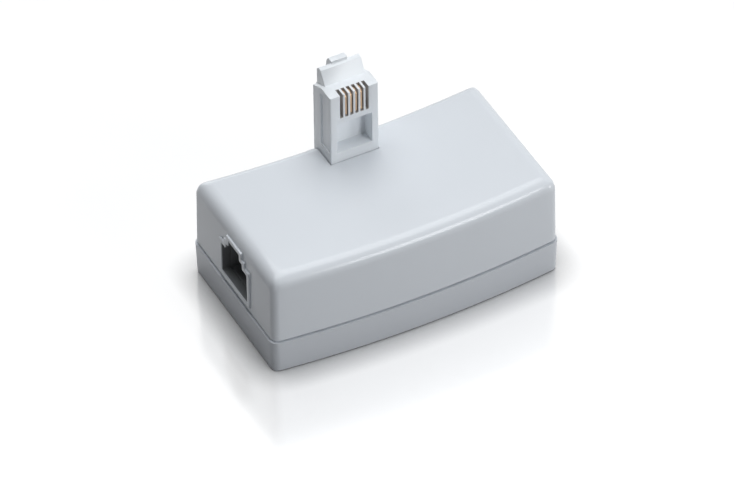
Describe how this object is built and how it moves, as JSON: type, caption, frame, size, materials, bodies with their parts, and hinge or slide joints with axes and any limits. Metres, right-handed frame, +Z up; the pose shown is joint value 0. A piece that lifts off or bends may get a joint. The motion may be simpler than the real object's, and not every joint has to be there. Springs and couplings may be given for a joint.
{
  "type": "dsl filter",
  "caption": "In-line telephone line filter: bowed two-shell plastic case with a modular plug standing on its roof and a modular jack in one end.",
  "frame": {"origin": "middle of the case's flat underside, on the surface it rests on", "axes": "+X along the case, away from the end with the jack; +Y to the back, the side that the plug's latch faces; +Z up, the way the plug points"},
  "size_m": [0.0583, 0.0352, 0.0403],
  "materials": {
    "shell_plastic": "satin moulded plastic, pale cool grey-white",
    "plug_plastic": "satin moulded plastic, pale cool grey-white",
    "jack_plastic": "plain moulded plastic",
    "contact_gold": "gold plated spring metal",
    "board": "glass-fibre board with solder resist",
    "bobbin_plastic": "plain moulded plastic",
    "enamelled_wire": "enamelled copper wire, glossy",
    "ferrite": "pressed ferrite, dull",
    "tinned_wire": "tinned wire, satin",
    "capacitor_case": "moulded case, glossy",
    "resistor_coat": "lacquer coat"
  },
  "bodies": {
    "root": {"top_cover": "shell_plastic", "base_cover": "shell_plastic", "plug_housing": "plug_plastic", "plug_contact_1": "contact_gold", "plug_contact_2": "contact_gold", "plug_contact_3": "contact_gold", "plug_contact_4": "contact_gold", "jack_housing": "jack_plastic", "jack_insert": "jack_plastic", "jack_contact_1": "contact_gold", "jack_contact_2": "contact_gold", "jack_contact_3": "contact_gold", "jack_contact_4": "contact_gold", "circuit_board": "board", "choke_1_bobbin": "bobbin_plastic", "choke_1_winding": "enamelled_wire", "choke_1_core_left": "ferrite", "choke_1_core_right": "ferrite", "choke_1_pins": "tinned_wire", "choke_2_bobbin": "bobbin_plastic", "choke_2_winding": "enamelled_wire", "choke_2_core_left": "ferrite", "choke_2_core_right": "ferrite", "choke_2_pins": "tinned_wire", "capacitor_1": "capacitor_case", "capacitor_1_leads": "tinned_wire", "capacitor_2": "capacitor_case", "capacitor_2_leads": "tinned_wire", "capacitor_3": "capacitor_case", "capacitor_3_leads": "tinned_wire", "resistor_1": "resistor_coat", "resistor_1_leads": "tinned_wire", "resistor_2": "resistor_coat", "resistor_2_leads": "tinned_wire"}
  },
  "joints": []
}
